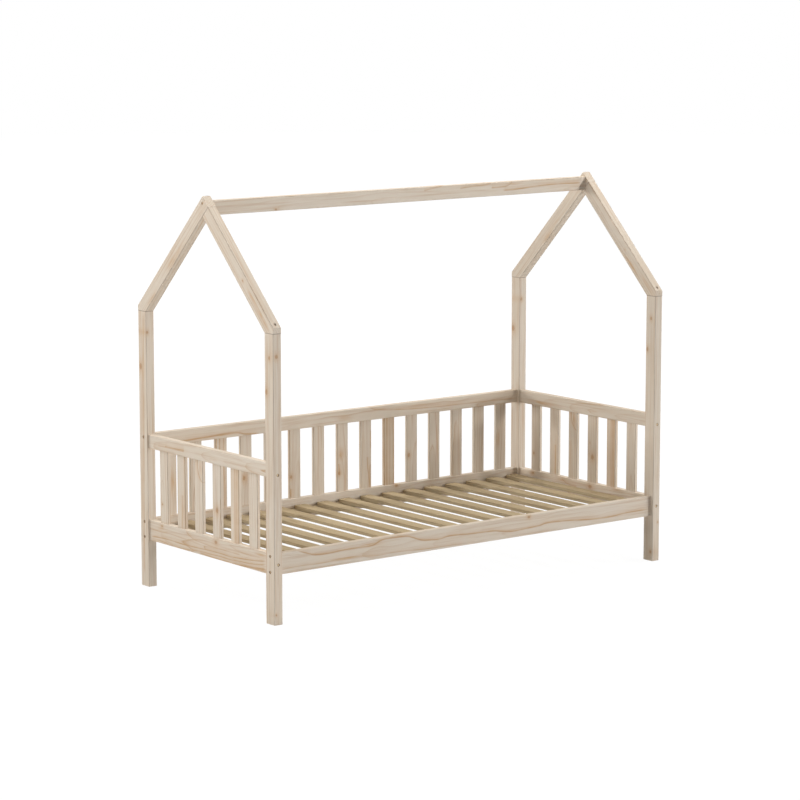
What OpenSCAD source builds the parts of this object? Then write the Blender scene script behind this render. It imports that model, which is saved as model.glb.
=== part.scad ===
// House-frame bed in pine with guard panels on three sides and an open front.
// X runs along the bed, -Y is the open front, +Z is up. The origin is on the floor under the middle.
// Left is the -X end and right is the +X end, as seen from the open front.

/* [Bay] */
// Clear length between the end posts, a little over a 2000 mattress
bay_l = 2048; // [1600:1:2200]
// Clear width between the side rails, a little over a 900 mattress
bay_w = 910; // [700:1:1200]

/* [Timber] */
// Depth of a post, a rafter and the ridge beam
post_w = 60; // [50:1:80]
// Thickness of a post, a rafter and the ridge beam
post_t = 40; // [36:1:60]
// Thickness of every rail
rail_t = 28; // [24:1:34]
// Height of the side rails and end rails
rail_h = 90; // [80:1:140]
// Height of the guard rails
guard_h = 60; // [50:1:90]
// Radius of the eased long edges of the timber
edge_r = 2.5; // [1:0.5:4]

/* [Heights] */
// Height of the posts, up to the feet of the rafters
post_h = 1202; // [900:1:1500]
// Floor to the underside of the side rails and end rails
rail_z = 206; // [100:1:300]
// Floor to the underside of the guard rails
guard_z = 609; // [500:1:750]

/* [Guard slats] */
// Width of a guard slat
slat_w = 60; // [50:1:80]
// Thickness of a guard slat
slat_t = 15; // [12:0.5:18]
// Gap between two guard slats
slat_gap = 73; // [60:1:75]
// Depth of the mortises that take the ends of the guard slats
slat_seat = 15; // [10:1:20]

/* [Base] */
// Width of a base slat
base_w = 60; // [50:1:90]
// Thickness of a base slat
base_t = 15; // [12:0.5:20]
// Number of base slats
base_n = 17; // [14:1:20]
// Gap between the first base slat and the end rail
base_end_gap = 12.5; // [8:0.5:20]
// Play between the end of a base slat and the side rail
base_play = 2; // [1:0.5:5]
// Width of a slat bearer
bearer_w = 20; // [18:1:30]
// Height of a slat bearer
bearer_h = 30; // [24:1:40]
// Play between the end of a bearer and the post
bearer_play = 2; // [1:0.5:5]

/* [Frame screws] */
// Diameter of the head of a frame screw
head_d = 9.6; // [8:0.2:10]
// Height of the head of a frame screw
head_h = 5; // [4:0.5:6]
// Diameter of the shank of a frame screw
shank_d = 6; // [5:0.5:7]
// Hexagon socket of a frame screw, across corners
socket_d = 4.6; // [4:0.2:5]
// Depth of the hexagon socket
socket_h = 3; // [2:0.5:3.5]
// Depth of the recess that takes the head, which stays a little below the face
recess = 7; // [6:0.5:15]
// Depth that a frame screw reaches into the end of a rail, beam or front rafter
screw_grip = 38; // [30:1:38]
// Distance from the top and bottom of a side rail to its screws
side_screw_inset = 12; // [8:1:20]
// Rise of the back guard rail's screws above mid height, and drop of the end guard rails' screws
guard_screw_rise = 16; // [12:1:18]
// Distance from the outer face of a post to the screw of the rafter's foot
foot_screw_inset = 13; // [11:1:18]
// Height of the head's seat above the foot of the rafter
foot_screw_seat = 20; // [14:1:22]

/* [Dowels] */
// Diameter of a dowel
dowel_d = 8; // [6:0.5:10]
// Depth of a dowel in the post or gable
dowel_in_post = 15; // [10:1:15]
// Depth of a dowel in the rail, beam or rafter's foot
dowel_in_rail = 25; // [18:1:30]
// Distance between the two dowels at the end of an end rail
end_dowel_gap = 44; // [36:1:56]
// Distance from the inner face of a post to the dowel of the rafter's foot
foot_dowel_inset = 22; // [16:1:26]

/* [Wood screws] */
// Diameter of the countersunk head of a wood screw
wood_head_d = 7; // [6:0.5:8]
// Diameter of the shank of a wood screw
wood_shank_d = 3.5; // [3:0.5:4]
// Depth that a bearer screw reaches into the side rail
bearer_screw_grip = 20; // [12:1:22]
// A bearer screw stands in every so many gaps between the base slats
bearer_screw_every = 3; // [1:1:5]
// Depth that a base slat screw reaches into the bearer
slat_screw_grip = 20; // [12:1:22]

/* [Fits] */
// Play all round a guard slat in its mortises, and above its top end
slat_play = 0.2; // [0.1:0.1:0.5]
// Play all round a screw or dowel in its hole, and past its end
hole_play = 0.2; // [0.1:0.1:0.3]

/* [Hidden] */
pine = "#d8c4a6";
base_pine = "#c4b48c";
beech = "#cfa877";
steel = "#8a8378";
$fn = 48;

// Cutters run this far past the faces that they open
past = 1;

// Places of the timber: rails are centred on the thickness and depth of the posts
half_bay = bay_l / 2;
half_l = half_bay + post_t;
post_x = half_bay + post_t / 2;
side_y = bay_w / 2 + rail_t / 2;
half_w = side_y + post_w / 2;
end_rail_l = 2 * (half_w - post_w);
rail_mid_z = rail_z + rail_h / 2;
guard_mid_z = guard_z + guard_h / 2;

// Gables: both slopes are at 45 degrees, and the heel of a rafter is flush with the outside of its post
slope_rise = post_w * sqrt(2);
heel_h = slope_rise - post_w;
peak_z = post_h + heel_h + half_w;
valley_z = peak_z - slope_rise;

// Ridge beam: the edges of its top lie in the slopes
ridge_mid_z = peak_z - post_t / 2 - post_w / 2;
ridge_screw_z = peak_z - post_w / 2;
ridge_dowel_z = peak_z - post_w;
apex_screw_z = (ridge_screw_z + ridge_dowel_z) / 2;

// Guard slats stand on the floors of their mortises, and their row is centred between the posts
slat_pitch = slat_w + slat_gap;
slat_foot_z = rail_z + rail_h - slat_seat;
slat_l = guard_z + slat_seat - slat_play - slat_foot_z;
back_slat_n = round((bay_l - slat_gap) / slat_pitch);
end_slat_n = round((end_rail_l - slat_gap) / slat_pitch);

// Base slats lie on the bearers, whose tops are at mid height of the side rails
base_z = rail_mid_z;
base_l = bay_w - 2 * base_play;
base_span = bay_l + post_t - rail_t - 2 * base_end_gap;
base_pitch = (base_span - base_w) / (base_n - 1);
bearer_y = bay_w / 2 - bearer_w / 2;
bearer_l = bay_l - 2 * bearer_play;
bearer_mid_z = base_z - bearer_h / 2;

// Screws and their holes
short_screw_l = post_t - recess + screw_grip;
long_screw_l = post_w - recess + screw_grip;
head_hole_d = head_d + 2 * hole_play;
shank_hole_d = shank_d + 2 * hole_play;
foot_recess = heel_h + foot_screw_inset + head_hole_d / 2 - foot_screw_seat;
wood_head_h = (wood_head_d - wood_shank_d) / 2;

// Places of n copies at the given pitch, centred on zero
function centred(n, pitch) = [for (i = [0 : n - 1]) (i - (n - 1) / 2) * pitch];
back_slat_x = centred(back_slat_n, slat_pitch);
end_slat_y = centred(end_slat_n, slat_pitch);
base_slat_x = centred(base_n, base_pitch);
base_gap_x = centred(base_n - 1, base_pitch);
bearer_screw_x = [for (i = [0 : bearer_screw_every : base_n - 2]) base_gap_x[i]];

// Section of eased timber, centred, a along X and b along Y
module eased_section(a, b, r = edge_r) {
    square([a - 2 * r, b], center = true);
    square([a, b - 2 * r], center = true);
    for (x = [-1, 1], y = [-1, 1]) {
        translate([x * (a / 2 - r), y * (b / 2 - r)]) circle(r);
    }
}

// Bar along X, centred
module bar_x(l, y, z) {
    rotate([90, 0, 90]) translate([0, 0, -l / 2]) linear_extrude(l) eased_section(y, z);
}

// Bar along Y, centred
module bar_y(l, x, z) {
    rotate([90, 0, 0]) translate([0, 0, -l / 2]) linear_extrude(l) eased_section(x, z);
}

// Bar along Z, standing on the plane z = 0
module upright(l, x, y, r = edge_r) {
    linear_extrude(l) eased_section(x, y, r);
}

// What is modelled at the right end also stands at the left end, mirrored
module both_ends() {
    children();
    mirror([1, 0, 0]) children();
}

// What is modelled on the back side also stands on the front side, mirrored
module both_sides() {
    children();
    mirror([0, 1, 0]) children();
}

// Frame screw along +Z: the head's seat is at z = 0, and the head has a hexagon socket
module frame_screw(l) {
    difference() {
        translate([0, 0, -head_h]) cylinder(h = head_h, d = head_d);
        translate([0, 0, -head_h - past]) cylinder(h = socket_h + past, d = socket_d, $fn = 6);
    }
    cylinder(h = l, d = shank_d);
}

// Hole for a frame screw: a recess for the head, of the given depth, then the hole of the shank
module frame_screw_hole(l, depth = recess) {
    translate([0, 0, -depth - past]) cylinder(h = depth + past, d = head_hole_d);
    translate([0, 0, -past]) cylinder(h = past + l + hole_play, d = shank_hole_d);
}

// Dowel along +Z across a joint at z = 0
module dowel(play = 0) {
    translate([0, 0, -dowel_in_post - play])
        cylinder(h = dowel_in_post + dowel_in_rail + 2 * play, d = dowel_d + 2 * play);
}

// Countersunk wood screw along +Z, with the top of its flat head at z = 0
module wood_screw(l) {
    r = wood_shank_d / 2;
    rotate_extrude()
        polygon([[0, 0], [wood_head_d / 2, 0], [r, wood_head_h], [r, l - wood_shank_d], [0, l]]);
}

module wood_screw_hole(l) {
    r = wood_shank_d / 2 + hole_play;
    head_r = wood_head_d / 2 + hole_play;
    rotate_extrude()
        polygon([[0, -past], [head_r, -past], [head_r, 0], [r, wood_head_h], [r, l], [0, l + hole_play]]);
}

// Places of the fasteners, each with +Z turned the way that the fastener goes in.
// Those at a post are given for the back right post, and the others for the right end or the back side.
module at_side_rail_screws() {
    for (side = [-1, 1]) {
        translate([half_l - recess, side_y, rail_mid_z + side * (rail_h / 2 - side_screw_inset)])
            rotate([0, -90, 0]) children();
    }
}

module at_back_guard_screw() {
    translate([half_l - recess, side_y, guard_mid_z + guard_screw_rise]) rotate([0, -90, 0]) children();
}

module at_back_guard_dowel() {
    translate([half_bay, side_y, guard_mid_z - guard_screw_rise]) rotate([0, -90, 0]) children();
}

module at_end_rail_screw() {
    translate([post_x, half_w - recess, rail_mid_z]) rotate([90, 0, 0]) children();
}

module at_end_rail_dowels() {
    for (side = [-1, 1]) {
        translate([post_x, half_w - post_w, rail_mid_z + side * end_dowel_gap / 2])
            rotate([90, 0, 0]) children();
    }
}

module at_end_guard_screw() {
    translate([post_x, half_w - recess, guard_mid_z - guard_screw_rise]) rotate([90, 0, 0]) children();
}

module at_end_guard_dowel() {
    translate([post_x, half_w - post_w, guard_mid_z + guard_screw_rise]) rotate([90, 0, 0]) children();
}

module at_foot_screw() {
    translate([post_x, half_w - foot_screw_inset, post_h + foot_screw_seat]) rotate([180, 0, 0]) children();
}

module at_foot_dowel() {
    translate([post_x, half_w - post_w + foot_dowel_inset, post_h]) children();
}

module at_ridge_screw() {
    translate([half_l - recess, 0, ridge_screw_z]) rotate([0, -90, 0]) children();
}

module at_ridge_dowel() {
    translate([half_bay, 0, ridge_dowel_z]) rotate([0, -90, 0]) children();
}

// The apex screw goes in square to the back slope and crosses the middle plane at apex_screw_z
module at_apex_screw() {
    translate([post_x, 0, apex_screw_z]) rotate([135, 0, 0])
        translate([0, 0, recess - (peak_z - apex_screw_z) / sqrt(2)]) children();
}

module at_bearer_screws() {
    for (x = bearer_screw_x) {
        translate([x, bay_w / 2 - bearer_w, bearer_mid_z]) rotate([-90, 0, 0]) children();
    }
}

module at_base_slat_screws() {
    for (x = base_slat_x) {
        translate([x, bearer_y, base_z + base_t]) rotate([180, 0, 0]) children();
    }
}

// Back right post, with the holes of the back guard rail or without them
module post(back) {
    difference() {
        translate([post_x, side_y, 0]) upright(post_h, post_t, post_w);
        at_side_rail_screws() frame_screw_hole(short_screw_l);
        at_end_rail_screw() frame_screw_hole(long_screw_l);
        at_end_rail_dowels() dowel(hole_play);
        at_end_guard_screw() frame_screw_hole(long_screw_l);
        at_end_guard_dowel() dowel(hole_play);
        at_foot_screw() frame_screw_hole(long_screw_l, foot_recess);
        at_foot_dowel() dowel(hole_play);
        if (back) {
            at_back_guard_screw() frame_screw_hole(short_screw_l);
            at_back_guard_dowel() dowel(hole_play);
        }
    }
}

module back_right_post() {
    color(pine) post(true);
}

module back_left_post() {
    mirror([1, 0, 0]) back_right_post();
}

module front_right_post() {
    color(pine) mirror([0, 1, 0]) post(false);
}

module front_left_post() {
    mirror([1, 0, 0]) front_right_post();
}

// Right rafter on the back side, cut to an outline given as [y, z] points
module rafter(outline) {
    mid_y = half_w / 2;
    intersection() {
        translate([post_x, mid_y, peak_z - slope_rise / 2 - mid_y]) rotate([45, 0, 0])
            translate([0, 0, -half_w]) upright(2 * half_w, post_t, post_w);
        translate([half_bay - past, 0, 0]) rotate([90, 0, 90])
            linear_extrude(post_t + 2 * past) polygon(outline);
    }
}

// The back rafter runs through to the peak, and its end lies in the front slope
module right_back_rafter() {
    color(pine) difference() {
        rafter([
            [half_w - post_w, post_h],
            [half_w, post_h],
            [half_w, post_h + heel_h],
            [0, peak_z],
            [-slope_rise / 2, peak_z - slope_rise / 2]
        ]);
        at_foot_screw() frame_screw_hole(long_screw_l, foot_recess);
        at_foot_dowel() dowel(hole_play);
        at_ridge_screw() frame_screw_hole(short_screw_l);
        at_ridge_dowel() dowel(hole_play);
        at_apex_screw() frame_screw_hole(long_screw_l);
    }
}

// The front rafter butts on the underside of the back one
module right_front_rafter() {
    color(pine) difference() {
        mirror([0, 1, 0]) rafter([
            [half_w - post_w, post_h],
            [half_w, post_h],
            [half_w, post_h + heel_h],
            [slope_rise / 2, peak_z - slope_rise / 2],
            [0, valley_z]
        ]);
        mirror([0, 1, 0]) at_foot_screw() frame_screw_hole(long_screw_l, foot_recess);
        mirror([0, 1, 0]) at_foot_dowel() dowel(hole_play);
        at_apex_screw() frame_screw_hole(long_screw_l);
    }
}

module left_back_rafter() {
    mirror([1, 0, 0]) right_back_rafter();
}

module left_front_rafter() {
    mirror([1, 0, 0]) right_front_rafter();
}

module ridge_beam() {
    color(pine) difference() {
        translate([0, 0, ridge_mid_z]) bar_x(bay_l, post_t, post_w);
        both_ends() at_ridge_screw() frame_screw_hole(short_screw_l);
        both_ends() at_ridge_dowel() dowel(hole_play);
    }
}

// Guard slat standing on the plane z = 0, and the space that it takes in the rails with its play
module guard_slat() {
    upright(slat_l, slat_w, slat_t);
}

module guard_slat_space() {
    upright(slat_l + slat_play, slat_w + 2 * slat_play, slat_t + 2 * slat_play, edge_r + slat_play);
}

module at_back_slat(i) {
    translate([back_slat_x[i - 1], side_y, slat_foot_z]) children();
}

module at_end_slat(i) {
    translate([post_x, end_slat_y[i - 1], slat_foot_z]) rotate([0, 0, 90]) children();
}

module back_guard_slat(i) {
    color(pine) at_back_slat(i) guard_slat();
}

module right_guard_slat(i) {
    color(pine) at_end_slat(i) guard_slat();
}

module left_guard_slat(i) {
    mirror([1, 0, 0]) right_guard_slat(i);
}

// Side rail on the back side, before its mortises
module side_rail() {
    difference() {
        translate([0, side_y, rail_mid_z]) bar_x(bay_l, rail_t, rail_h);
        both_ends() at_side_rail_screws() frame_screw_hole(short_screw_l);
        at_bearer_screws() wood_screw_hole(bearer_w + bearer_screw_grip);
    }
}

module front_side_rail() {
    color(pine) mirror([0, 1, 0]) side_rail();
}

module back_side_rail() {
    color(pine) difference() {
        side_rail();
        for (i = [1 : back_slat_n]) at_back_slat(i) guard_slat_space();
    }
}

module right_end_rail() {
    color(pine) difference() {
        translate([post_x, 0, rail_mid_z]) bar_y(end_rail_l, rail_t, rail_h);
        both_sides() at_end_rail_screw() frame_screw_hole(long_screw_l);
        both_sides() at_end_rail_dowels() dowel(hole_play);
        for (i = [1 : end_slat_n]) at_end_slat(i) guard_slat_space();
    }
}

module left_end_rail() {
    mirror([1, 0, 0]) right_end_rail();
}

module back_guard_rail() {
    color(pine) difference() {
        translate([0, side_y, guard_mid_z]) bar_x(bay_l, rail_t, guard_h);
        both_ends() at_back_guard_screw() frame_screw_hole(short_screw_l);
        both_ends() at_back_guard_dowel() dowel(hole_play);
        for (i = [1 : back_slat_n]) at_back_slat(i) guard_slat_space();
    }
}

module right_guard_rail() {
    color(pine) difference() {
        translate([post_x, 0, guard_mid_z]) bar_y(end_rail_l, rail_t, guard_h);
        both_sides() at_end_guard_screw() frame_screw_hole(long_screw_l);
        both_sides() at_end_guard_dowel() dowel(hole_play);
        for (i = [1 : end_slat_n]) at_end_slat(i) guard_slat_space();
    }
}

module left_guard_rail() {
    mirror([1, 0, 0]) right_guard_rail();
}

module back_slat_bearer() {
    color(base_pine) difference() {
        translate([0, bearer_y, bearer_mid_z]) bar_x(bearer_l, bearer_w, bearer_h);
        at_bearer_screws() wood_screw_hole(bearer_w + bearer_screw_grip);
        at_base_slat_screws() wood_screw_hole(base_t + slat_screw_grip);
    }
}

module front_slat_bearer() {
    mirror([0, 1, 0]) back_slat_bearer();
}

module base_slats() {
    color(base_pine) difference() {
        for (x = base_slat_x) {
            translate([x, 0, base_z + base_t / 2]) bar_y(base_l, base_w, base_t);
        }
        both_sides() at_base_slat_screws() wood_screw_hole(base_t + slat_screw_grip);
    }
}

// Side rails, back guard rail and ridge beam
module short_frame_screws() {
    color(steel) both_ends() {
        both_sides() at_side_rail_screws() frame_screw(short_screw_l);
        at_back_guard_screw() frame_screw(short_screw_l);
        at_ridge_screw() frame_screw(short_screw_l);
    }
}

// End rails, end guard rails, feet of the rafters and peaks of the gables
module long_frame_screws() {
    color(steel) both_ends() {
        both_sides() at_end_rail_screw() frame_screw(long_screw_l);
        both_sides() at_end_guard_screw() frame_screw(long_screw_l);
        both_sides() at_foot_screw() frame_screw(long_screw_l);
        at_apex_screw() frame_screw(long_screw_l);
    }
}

module dowels() {
    color(beech) both_ends() {
        both_sides() at_end_rail_dowels() dowel();
        both_sides() at_end_guard_dowel() dowel();
        both_sides() at_foot_dowel() dowel();
        at_back_guard_dowel() dowel();
        at_ridge_dowel() dowel();
    }
}

module bearer_screws() {
    color(steel) both_sides() at_bearer_screws() wood_screw(bearer_w + bearer_screw_grip);
}

module base_slat_screws() {
    color(steel) both_sides() at_base_slat_screws() wood_screw(base_t + slat_screw_grip);
}

front_left_post();
front_right_post();
back_left_post();
back_right_post();
left_front_rafter();
left_back_rafter();
right_front_rafter();
right_back_rafter();
ridge_beam();
front_side_rail();
back_side_rail();
left_end_rail();
right_end_rail();
back_guard_rail();
left_guard_rail();
right_guard_rail();
for (i = [1 : back_slat_n]) {
    back_guard_slat(i);
}
for (i = [1 : end_slat_n]) {
    left_guard_slat(i);
    right_guard_slat(i);
}
front_slat_bearer();
back_slat_bearer();
base_slats();
short_frame_screws();
long_frame_screws();
dowels();
bearer_screws();
base_slat_screws();
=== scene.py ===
"""Looks of a house-frame bed in unfinished pine, built round its packed frame.

Every form in the picture is a solid of the frame. One operator for each group of like pieces gives
them their procedural material, and the last one makes the studio. Lengths are in metres unless a
comment says mm.
"""
import math

import bpy
import numpy as np
from bpy.props import FloatProperty, FloatVectorProperty, PointerProperty
from mathutils import Matrix, Vector


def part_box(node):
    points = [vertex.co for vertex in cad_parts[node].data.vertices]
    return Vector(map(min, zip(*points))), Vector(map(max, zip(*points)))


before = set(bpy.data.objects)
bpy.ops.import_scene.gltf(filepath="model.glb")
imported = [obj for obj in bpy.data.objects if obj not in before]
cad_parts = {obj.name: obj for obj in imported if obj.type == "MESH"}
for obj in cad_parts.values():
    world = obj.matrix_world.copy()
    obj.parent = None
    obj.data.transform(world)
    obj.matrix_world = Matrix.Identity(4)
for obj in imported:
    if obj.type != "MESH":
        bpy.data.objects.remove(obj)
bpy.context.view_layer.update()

bl_info = {
    "name": "House-frame bed",
    "version": (1, 0, 0),
    "blender": (4, 5, 0),
    "location": "3D View > Sidebar > Bed",
    "description": "Pine, hardware and studio for a house-frame bed with guard panels",
    "category": "Object",
}

MM = 0.001
X, Y, Z = Vector((1, 0, 0)), Vector((0, 1, 0)), Vector((0, 0, 1))
AXES = {"x": X, "y": Y, "z": Z}

# The two long sides and the two ends, each with its sign along Y or X
ROWS = (("front", -1), ("back", 1))
ENDS = (("left", -1), ("right", 1))

# Places in mm from the bed's middle and the floor: the posts' outer faces and middles, then the
# screws in the posts, at the rafters' feet, and through a gable into the ridge beam
END_FACE, SIDE_FACE = 1064, 499
POST_X, POST_Y = 1044, 469
SIDE_RAIL_SCREWS = (218, 284)
END_RAIL_SCREWS = (251, 623)
BACK_GUARD_SCREW = 655
RAFTER_SCREW_Y, RAFTER_SCREW_Z = 486, 1250
RIDGE_SCREW = 1695.85
BASE_SLAT_PITCH = 123.4375

# Joints whose seam shows: a point of the plane in mm, and its normal
POST_TOP = ((0, 0, 1202), (0, 0, 1))
RAFTER_BUTT = ((0, 0, 1641), (0, 1, 1))

# Knots that show: x, y, z and radius in mm, and the axis that the branch follows
KNOTS = {
    "back_left_post": ((-1064, 484, 961, 9, "x"), (-1058, 439, 1112, 4.5, "y")),
    "front_left_post": (
        (-1064, -471, 1102, 5, "x"), (-1064, -450, 962, 7, "x"), (-1048, -499, 1109, 6, "y"),
        (-1056, -499, 43, 2.5, "y")),
    "front_right_post": (
        (1024, -471, 1101, 5, "x"), (1024, -449, 961, 6, "x"), (1024, -485, 41, 5, "x"),
        (1055, -499, 176, 2.5, "y")),
    "back_right_post": ((1024, 486, 959, 9, "x"), (1034, 439, 1101, 5, "y")),
    "left_end_rail": ((-1058, -68, 278, 7, "x"), (-1058, 341, 283, 3.5, "x")),
    "right_end_rail": ((1030, -64, 278, 8, "x"), (1030, 341, 285, 4, "x")),
    "back_side_rail": ((303, 455, 290, 6, "y"),),
    "front_side_rail": ((307, -483, 286, 5, "y"),),
    "left_front_rafter": ((-1064, -289, 1400, 3, "x"),),
    "ridge_beam": ((-705, -20, 1652, 4, "y"),),
    "left_guard_slat_3": ((-1052, -70, 413, 8, "x"),),
    "right_guard_slat_3": ((1036, -72, 416, 8, "x"),),
    "left_guard_slat_6": ((-1052, 345, 377, 3, "x"),),
    "right_guard_slat_6": ((1036, 344, 379, 4, "x"),),
    "back_guard_slat_4": ((-544, 462, 418, 6, "y"),),
    "back_guard_slat_6": ((-288, 462, 394, 5, "y"),),
    "back_guard_slat_8": ((-21, 462, 381, 5, "y"),),
    "back_guard_slat_11": ((380, 462, 422, 6, "y"),),
}

# Resin streaks that show: x, y, z, half length and half width in mm, and strength
STREAKS = {
    "back_left_post": ((-1064, 476, 149, 20, 6, 0.9),),
    "left_end_rail": (
        (-1058, -394, 279, 35, 7, 0.9), (-1058, 134, 277, 30, 6, 0.5),
        (-1058, -400, 216, 70, 8, 1.0), (-1058, 350, 268, 25, 16, 0.5)),
    "right_end_rail": (
        (1030, -249, 288, 35, 6, 0.9), (1030, 130, 282, 35, 6, 0.8), (1030, 350, 280, 20, 10, 0.6)),
    "left_guard_rail": ((-1058, 235, 633, 60, 4, 1.0), (-1058, -58, 628, 30, 5, 0.4)),
    "right_guard_rail": ((1030, 280, 626, 70, 6, 1.0), (1030, -83, 631, 30, 5, 0.4)),
    "back_guard_rail": (
        (-3, 455, 637, 35, 12, 0.6), (-690, 455, 626, 130, 6, 0.9), (-707, 455, 673, 25, 4, 0.5)),
    "front_side_rail": (
        (-560, -483, 272, 60, 8, 1.0), (-685, -483, 231, 75, 5, 1.0), (60, -483, 262, 70, 6, 0.4)),
    "left_back_rafter": (
        (-1064, 235, 1430, 45, 12, 0.7), (-1064, 192, 1472, 60, 5, 0.6),
        (-1064, 385, 1267, 40, 8, 0.6)),
    "right_back_rafter": ((1024, 245, 1412, 45, 12, 0.7), (1024, 200, 1469, 60, 5, 0.6)),
    "left_front_rafter": (
        (-1064, -362, 1328, 42, 5, 1.6), (-1064, -410, 1276, 30, 7, 1.0),
        (-1064, -444, 1240, 36, 9, 0.7)),
    "right_front_rafter": (
        (1024, -337, 1328, 48, 5, 1.6), (1024, -440, 1252, 50, 8, 0.7),
        (1024, -292, 1395, 7, 4, 0.8)),
    "ridge_beam": ((600, -20, 1695, 45, 5, 0.7), (-627, -20, 1706, 30, 4, 0.6)),
    "left_guard_slat_4": ((-1052, 52, 572, 34, 10, 0.5),),
    "right_guard_slat_4": ((1036, 58, 572, 34, 10, 0.9), (1036, 78, 390, 90, 5, 0.5)),
    "left_guard_slat_5": ((-1052, 188, 370, 60, 4, 1.0),),
    "right_guard_slat_5": ((1036, 187, 370, 70, 4, 1.0),),
    "back_guard_slat_1": ((-922, 462, 445, 50, 9, 0.9),),
    "back_guard_slat_3": ((-691, 462, 500, 160, 4, 0.9),),
    "back_guard_slat_4": ((-540, 462, 415, 40, 14, 0.5),),
    "back_guard_slat_6": ((-292, 462, 323, 32, 3, 1.0), (-298, 462, 430, 70, 3, 0.6)),
    "back_guard_slat_8": (
        (-9, 462, 470, 26, 20, 0.8), (-21, 462, 392, 34, 4, 1.0), (14, 462, 370, 60, 4, 0.6)),
    "back_guard_slat_9": ((158, 462, 514, 45, 3, 1.0), (150, 462, 344, 60, 4, 0.8)),
    "back_guard_slat_10": ((239, 462, 450, 160, 3, 0.6), (288, 462, 450, 160, 3, 0.4)),
    "back_guard_slat_12": ((547, 462, 474, 90, 4, 0.9),),
    "back_guard_slat_15": ((914, 462, 448, 40, 10, 0.9),),
}

# Single ring lines that show: strength and half width in mm, then places along and across the
# plank in mm
LINES = {
    "front_side_rail": (
        (1.0, 3.0, (-939, 296), (-908, 284), (-873, 273), (-842, 265), (-796, 263), (-693, 267),
         (-605, 267), (-563, 267), (-531, 274), (-505, 283), (-473, 287), (-383, 285), (-340, 276),
         (-307, 264), (-270, 255), (-232, 252), (-199, 250), (-134, 257), (-90, 256), (-24, 252),
         (60, 250), (99, 249), (144, 243), (189, 237), (228, 234), (268, 236), (371, 241),
         (411, 247), (515, 244), (632, 235), (739, 230), (792, 231), (888, 237), (1009, 237)),
        (0.6, 1.5, (-1015, 224), (-924, 229), (-822, 226), (-709, 233), (-615, 229), (-536, 221),
         (-431, 223), (-243, 216), (-62, 215))),
    "back_guard_rail": (
        (0.8, 1.8, (149, 668), (225, 649), (458, 635), (696, 632), (1000, 628)),
        (1.0, 3.5, (-1000, 613), (-860, 618), (-797, 621), (-712, 624), (-638, 628), (-601, 628),
         (-569, 623), (-537, 615), (-472, 611))),
    "ridge_beam": (
        (1.0, 2.4, (540, 1668), (600, 1669), (660, 1672), (708, 1676), (811, 1680), (990, 1679)),
        (0.8, 2.6, (470, 1683), (524, 1684), (553, 1686), (576, 1695), (591, 1706)),
        (0.7, 2.4, (290, 1689), (335, 1693), (375, 1696), (432, 1697), (458, 1701), (467, 1709)),
        (0.6, 2.4, (88, 1689), (127, 1696), (155, 1700), (183, 1704), (205, 1708))),
    "left_end_rail": (
        (1.0, 2.1, (-424, 256), (-317, 243), (-244, 238), (-171, 234), (-98, 235), (-23, 235),
         (52, 232), (127, 230), (204, 229), (281, 231), (359, 229), (422, 224)),
        (0.9, 1.8, (-424, 242), (-316, 228), (-244, 225), (-171, 221), (-97, 222), (-23, 220),
         (52, 219), (128, 213), (204, 209), (281, 212), (375, 216)),
        (1.0, 3.4, (-423, 222), (-316, 213), (-244, 209), (-97, 208), (52, 212)),
        (0.8, 1.6, (-244, 253), (-142, 253), (-68, 253), (44, 259), (89, 262), (119, 270),
         (142, 280), (157, 290)),
        (0.5, 1.5, (51, 249), (127, 252), (203, 255), (280, 258), (358, 256), (437, 259)),
        (0.5, 1.5, (-388, 266), (-331, 263), (-274, 264), (-230, 267), (-194, 274), (-165, 281)),
        (0.6, 1.5, (90, 209), (204, 209), (320, 208), (422, 209))),
    "right_end_rail": ((0.8, 1.6, (30, 262), (64, 265), (101, 270), (122, 280), (136, 292)),),
    "left_guard_rail": (
        (0.7, 1.5, (165, 630), (219, 631), (326, 630), (365, 629)),
        (0.9, 1.8, (165, 636), (211, 635), (311, 634))),
    "left_guard_slat_2": (
        (0.9, 1.6, (200, -203), (700, -203)), (1.0, 1.4, (200, -214), (700, -214)),
        (1.0, 1.8, (200, -226), (700, -226))),
    "right_guard_slat_2": (
        (0.8, 1.6, (200, -177), (700, -177)), (0.9, 1.4, (200, -200), (700, -200)),
        (1.0, 2.0, (200, -208), (700, -209)), (1.0, 2.0, (200, -222), (700, -220))),
    "left_guard_slat_4": ((1.0, 2.0, (515, 34), (533, 56), (565, 70), (608, 73)),),
    "right_guard_slat_4": ((1.0, 2.0, (525, 40), (540, 57), (573, 74), (607, 78)),),
    "left_guard_slat_5": ((0.9, 1.6, (290, 190), (440, 187)), (0.7, 1.4, (200, 171), (700, 171))),
    "right_guard_slat_5": ((1.0, 2.2, (300, 188), (440, 186)),),
    "back_guard_slat_3": (
        (1.0, 1.8, (200, -675), (700, -676)), (0.8, 1.6, (200, -651), (700, -653))),
    "back_guard_slat_6": (
        (1.0, 2.0, (300, -290), (340, -291)), (0.6, 1.5, (200, -300), (700, -300))),
    "back_guard_slat_8": (
        (1.0, 2.2, (372, -19), (392, -20), (425, -24)), (0.5, 1.5, (200, -44), (700, -44))),
    "back_guard_slat_9": (
        (0.9, 1.8, (290, 155), (330, 152), (378, 143), (440, 138)),
        (1.0, 2.0, (480, 160), (560, 160))),
    "back_guard_slat_10": (
        (0.9, 1.8, (200, 238), (700, 237)), (1.0, 1.6, (200, 251), (700, 250)),
        (0.8, 1.5, (200, 268), (700, 270)), (1.0, 1.8, (200, 289), (700, 288))),
    "back_left_post": ((0.9, 1.6, (60, 472), (378, 470), (686, 464), (1190, 458)),),
    "front_left_post": (
        (0.8, 1.8, (-10, -443), (620, -443)), (0.4, 1.5, (300, -461), (1190, -461))),
}

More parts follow.
